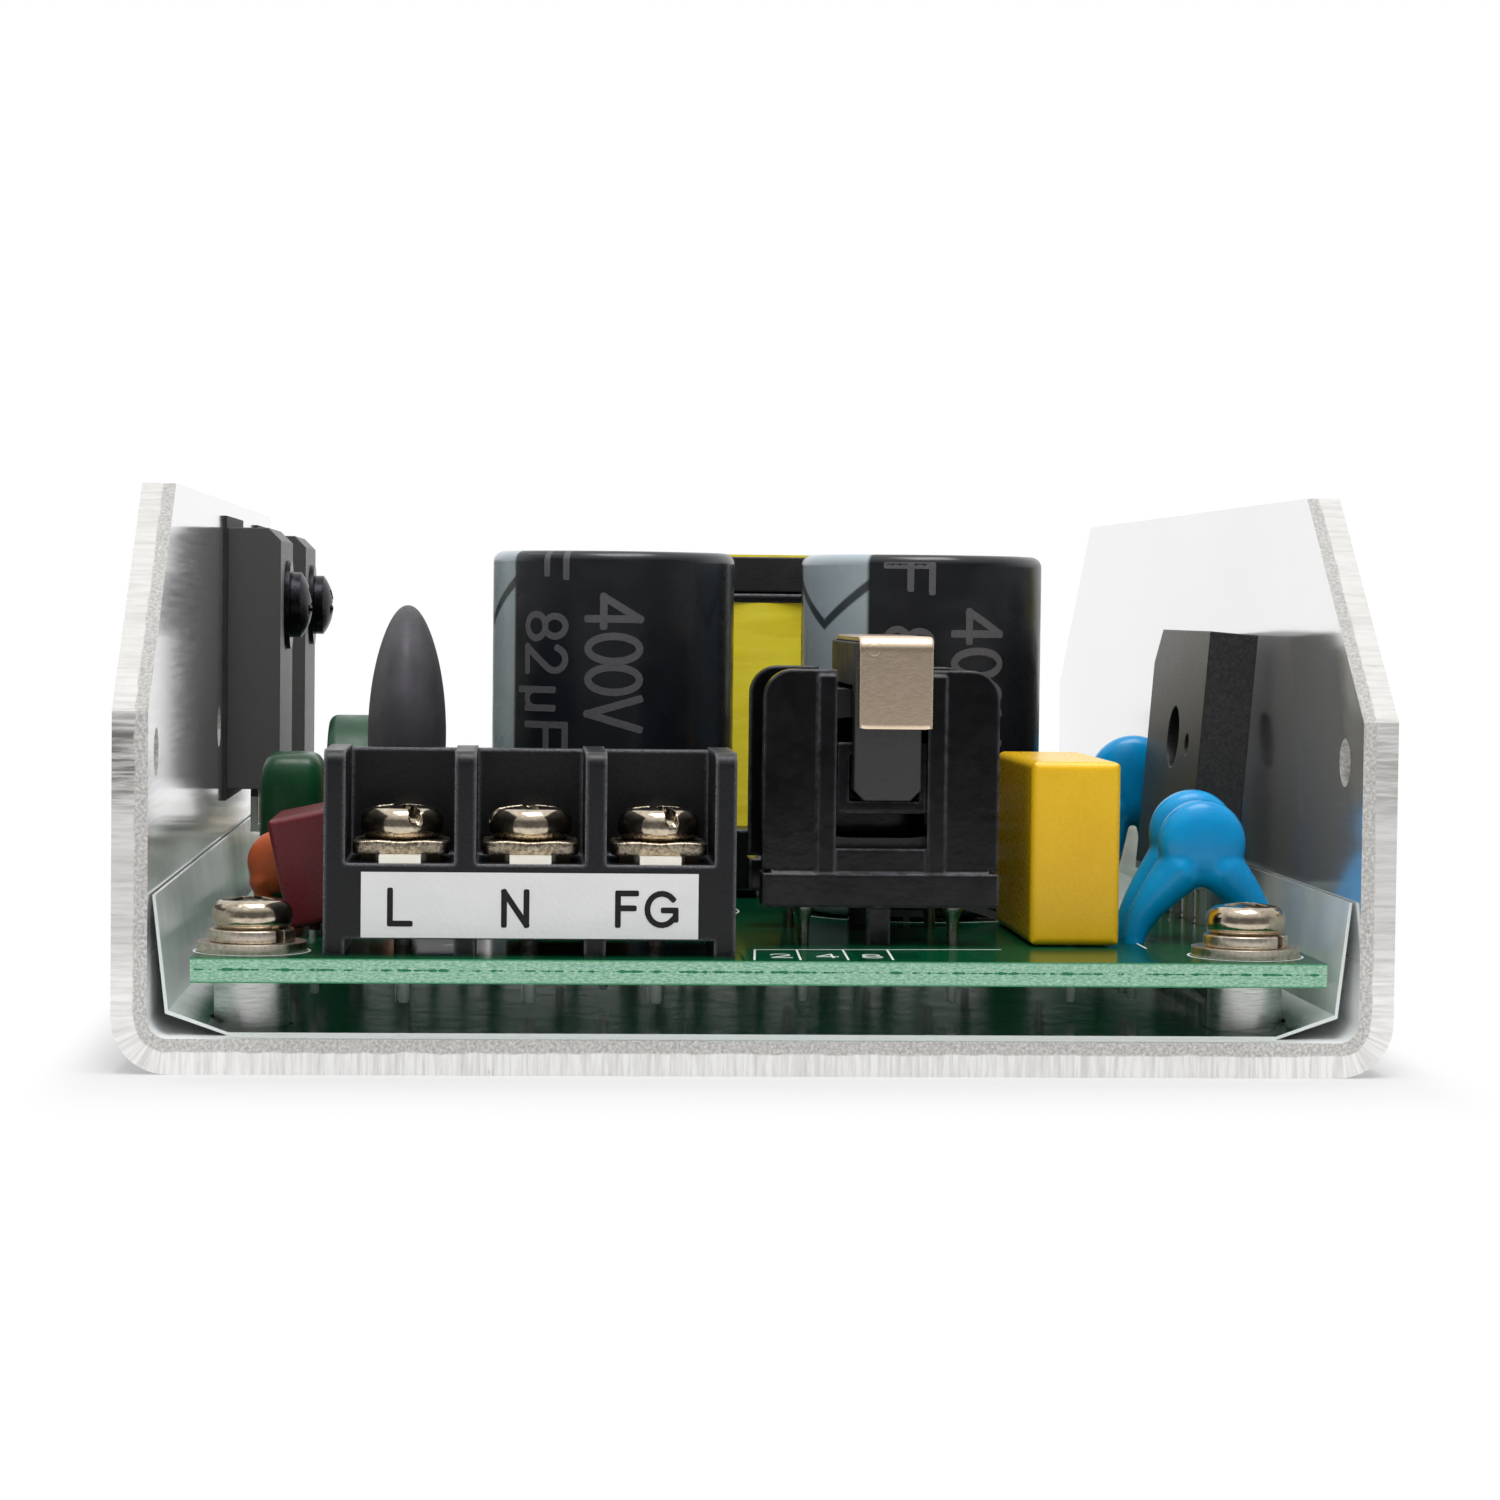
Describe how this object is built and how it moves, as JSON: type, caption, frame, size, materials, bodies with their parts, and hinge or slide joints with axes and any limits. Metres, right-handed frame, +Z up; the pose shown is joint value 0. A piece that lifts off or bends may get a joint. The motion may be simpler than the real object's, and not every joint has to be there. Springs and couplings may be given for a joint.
{
  "type": "switching power supply",
  "caption": "Open-frame switching power supply: board with screw terminals, chokes, capacitors and transformer in a bent aluminium U-channel.",
  "frame": {"origin": "centre of the underside of the channel base", "axes": "+Z up out of the open channel, +Y along the channel from the input terminals to the output terminals, +X to the right when facing +Y"},
  "size_m": [0.0826, 0.1334, 0.0381],
  "materials": {
    "aluminium_sheet": "mill finish with sheared edges",
    "insulation_film": "milky clear film",
    "turned_aluminium": "turned",
    "board_laminate": "green solder mask on glass laminate",
    "solder": "bright solder",
    "nickel_steel": "nickel plated",
    "black_steel": "black oxide",
    "black_moulding": "satin moulding",
    "tinned_brass": "tin plated",
    "label_film": "matt white",
    "choke_moulding": "gloss black moulding",
    "ferrite": "matt sintered",
    "clip_steel": "rolled spring steel",
    "copper_wire": "enamelled copper",
    "black_tape": "black polyester tape over the coil",
    "tinned_wire": "tinned",
    "yellow_case": "moulded case",
    "blue_coating": "gloss dipped coating",
    "black_sleeve": "shrunk sleeve",
    "grey_coating": "matt dipped coating",
    "brown_moulding": "moulded case",
    "red_coating": "moulded case",
    "orange_coating": "gloss dipped coating",
    "green_coating": "gloss coating",
    "epoxy_body": "moulded epoxy",
    "thermal_pad": "filled silicone pad",
    "yellow_tape": "polyester tape",
    "dark_sleeve": "shrunk sleeve",
    "yellow_core": "coated powder ring",
    "resistor_lacquer": "lacquered film resistor"
  },
  "bodies": {
    "root": {"chassis": "aluminium_sheet", "insulation_sheet": "insulation_film", "standoffs": "turned_aluminium", "circuit_board": "board_laminate", "solder_joints": "solder", "board_screws": "nickel_steel", "spring_washers": "nickel_steel", "flat_washers": "nickel_steel", "input_block": "black_moulding", "input_screws": "nickel_steel", "input_clamps": "nickel_steel", "input_contacts": "tinned_brass", "input_label": "label_film", "output_block": "black_moulding", "output_screws": "nickel_steel", "output_clamps": "nickel_steel", "output_contacts": "tinned_brass", "choke_bobbin": "choke_moulding", "choke_core_front": "ferrite", "choke_core_rear": "ferrite", "choke_clip": "clip_steel", "choke_winding_front": "black_tape", "choke_winding_rear": "black_tape", "choke_pins": "tinned_wire", "x_capacitor": "yellow_case", "y_capacitor_front": "blue_coating", "y_capacitor_rear": "blue_coating", "y_capacitor_far": "blue_coating", "bulk_capacitor_left": "black_sleeve", "bulk_capacitor_right": "black_sleeve", "thermistor": "grey_coating", "fuse": "brown_moulding", "red_capacitor": "red_coating", "orange_capacitor": "orange_coating", "green_capacitor": "green_coating", "ring_core": "green_coating", "ring_winding": "copper_wire", "bridge_rectifier": "epoxy_body", "switch_transistor": "epoxy_body", "output_rectifier": "epoxy_body", "switch_pad": "thermal_pad", "rectifier_pad": "thermal_pad", "device_screws": "black_steel", "device_washers": "black_steel", "transformer_core_upper": "ferrite", "transformer_core_lower": "ferrite", "transformer_bobbin": "black_moulding", "transformer_winding": "yellow_tape", "transformer_tape": "yellow_tape", "transformer_pins": "tinned_wire", "output_capacitor_left": "dark_sleeve", "output_capacitor_middle": "dark_sleeve", "output_capacitor_right": "dark_sleeve", "output_choke_core": "yellow_core", "output_choke_winding": "copper_wire", "control_chip": "epoxy_body", "optocoupler": "epoxy_body", "supply_capacitor": "dark_sleeve", "resistors": "resistor_lacquer"}
  },
  "joints": []
}
